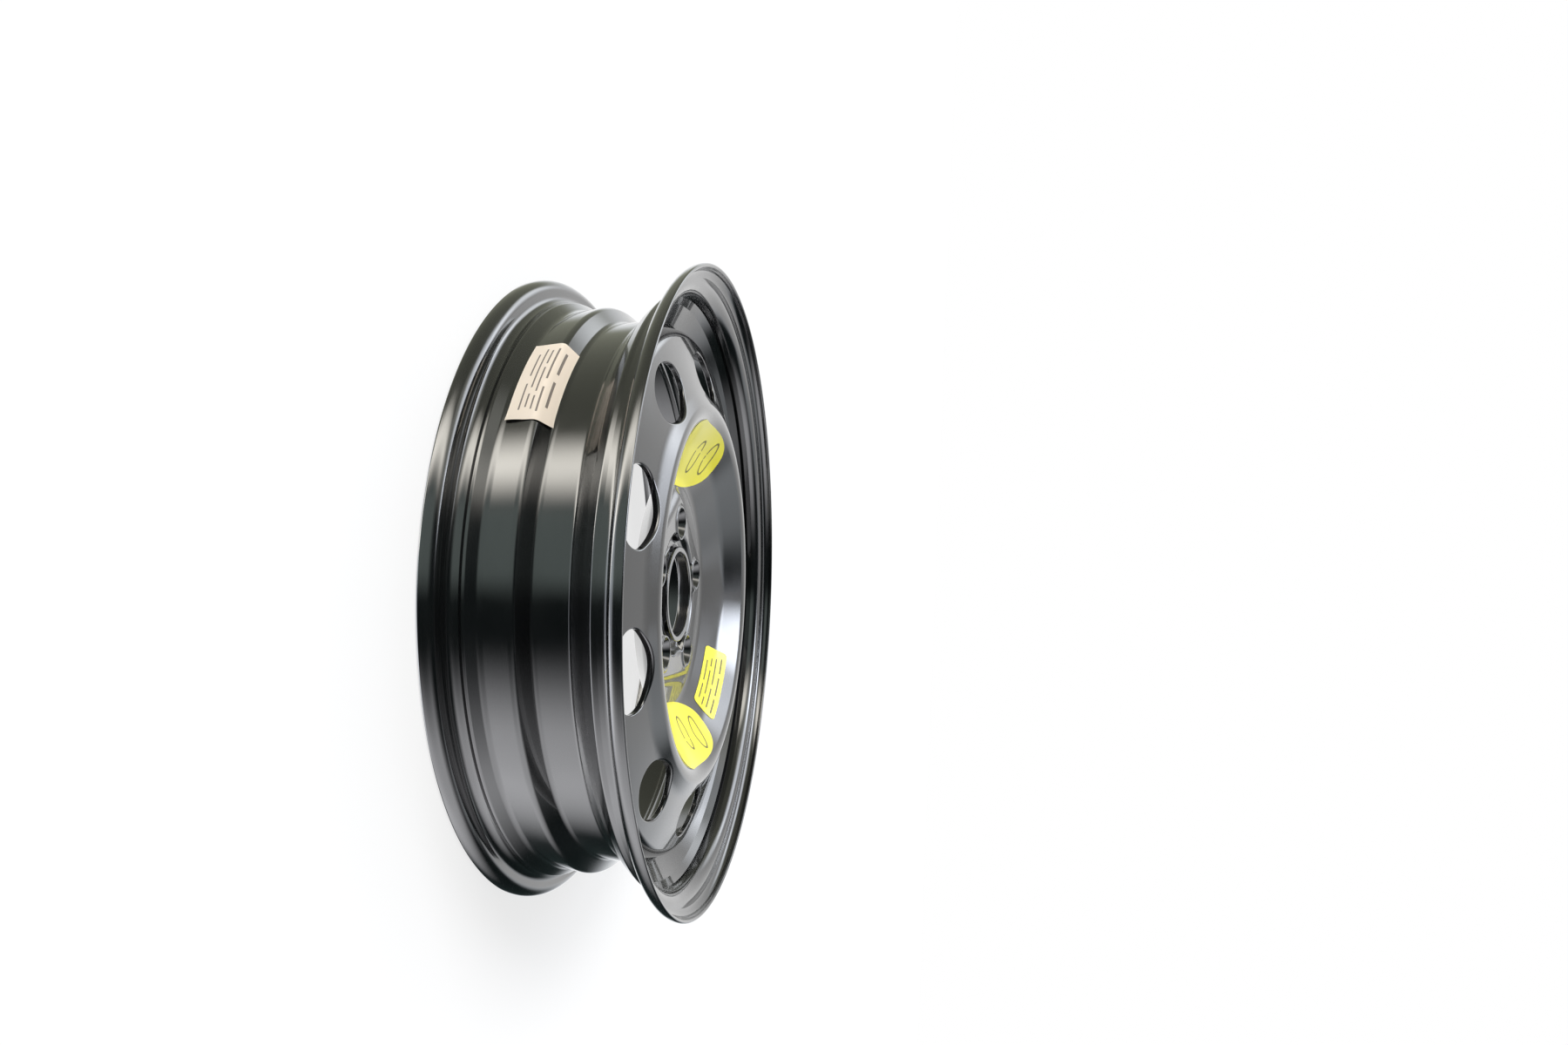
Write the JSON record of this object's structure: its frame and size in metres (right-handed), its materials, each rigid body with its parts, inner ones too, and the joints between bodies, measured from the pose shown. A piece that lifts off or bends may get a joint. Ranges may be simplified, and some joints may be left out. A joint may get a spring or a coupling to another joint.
{
  "type": "car wheel",
  "caption": "Narrow pressed steel temporary-spare wheel with an oval-vented disc, a raised star nave and a drawn collar round the hub bore.",
  "frame": {"origin": "centre of the hub mounting face, on the wheel's axis", "axes": "+Z along the wheel's axis towards the outer side, +Y through one bolt hole and one vent hole; the wheel lies on its inboard flange with the outer side up"},
  "size_m": [0.4709, 0.471, 0.125],
  "materials": {
    "black_enamel": "gloss black stoved enamel over pressed steel",
    "cream_paper": "cream paper label, satin",
    "yellow_film": "yellow film label, satin"
  },
  "bodies": {
    "root": {"rim": "black_enamel", "disc": "black_enamel", "rim_disc_welds": "black_enamel", "rim_paper_label": "cream_paper", "upper_oval_label": "yellow_film", "lower_oval_label": "yellow_film", "strip_label": "yellow_film"}
  },
  "joints": []
}
